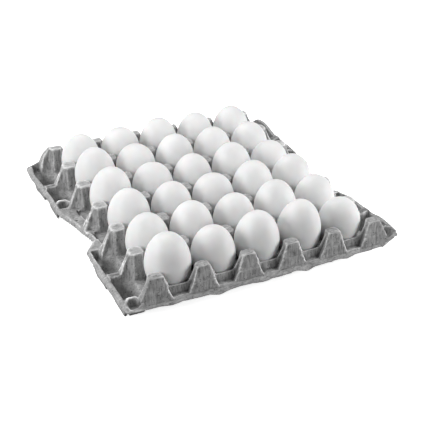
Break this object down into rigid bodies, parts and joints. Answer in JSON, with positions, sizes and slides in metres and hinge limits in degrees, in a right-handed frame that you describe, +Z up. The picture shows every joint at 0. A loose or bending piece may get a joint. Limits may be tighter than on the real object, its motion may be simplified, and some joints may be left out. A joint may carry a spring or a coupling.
{
  "type": "egg tray with eggs",
  "caption": "Square tray of moulded paper pulp with hollow posts between its cups, a flat rim and hand recesses in its sides, with a white egg standing in every cup.",
  "frame": {"origin": "on the table, under the middle of the tray", "axes": "+Z up, +X towards the side with a hand recess that lies on the right in the picture, +Y away from the row of eggs nearest the camera"},
  "size_m": [0.301, 0.303, 0.0716],
  "materials": {
    "pulp": "rough grey moulded paper pulp, speckled, with paler worn edges",
    "eggshell": "matt white eggshell"
  },
  "bodies": {
    "root": {"tray": "pulp", "egg_1_1": "eggshell", "egg_1_2": "eggshell", "egg_1_3": "eggshell", "egg_1_4": "eggshell", "egg_1_5": "eggshell", "egg_2_1": "eggshell", "egg_2_2": "eggshell", "egg_2_3": "eggshell", "egg_2_4": "eggshell", "egg_2_5": "eggshell", "egg_3_1": "eggshell", "egg_3_2": "eggshell", "egg_3_3": "eggshell", "egg_3_4": "eggshell", "egg_3_5": "eggshell", "egg_4_1": "eggshell", "egg_4_2": "eggshell", "egg_4_3": "eggshell", "egg_4_4": "eggshell", "egg_4_5": "eggshell", "egg_5_1": "eggshell", "egg_5_2": "eggshell", "egg_5_3": "eggshell", "egg_5_4": "eggshell", "egg_5_5": "eggshell", "egg_6_1": "eggshell", "egg_6_2": "eggshell", "egg_6_3": "eggshell", "egg_6_4": "eggshell", "egg_6_5": "eggshell"}
  },
  "joints": []
}
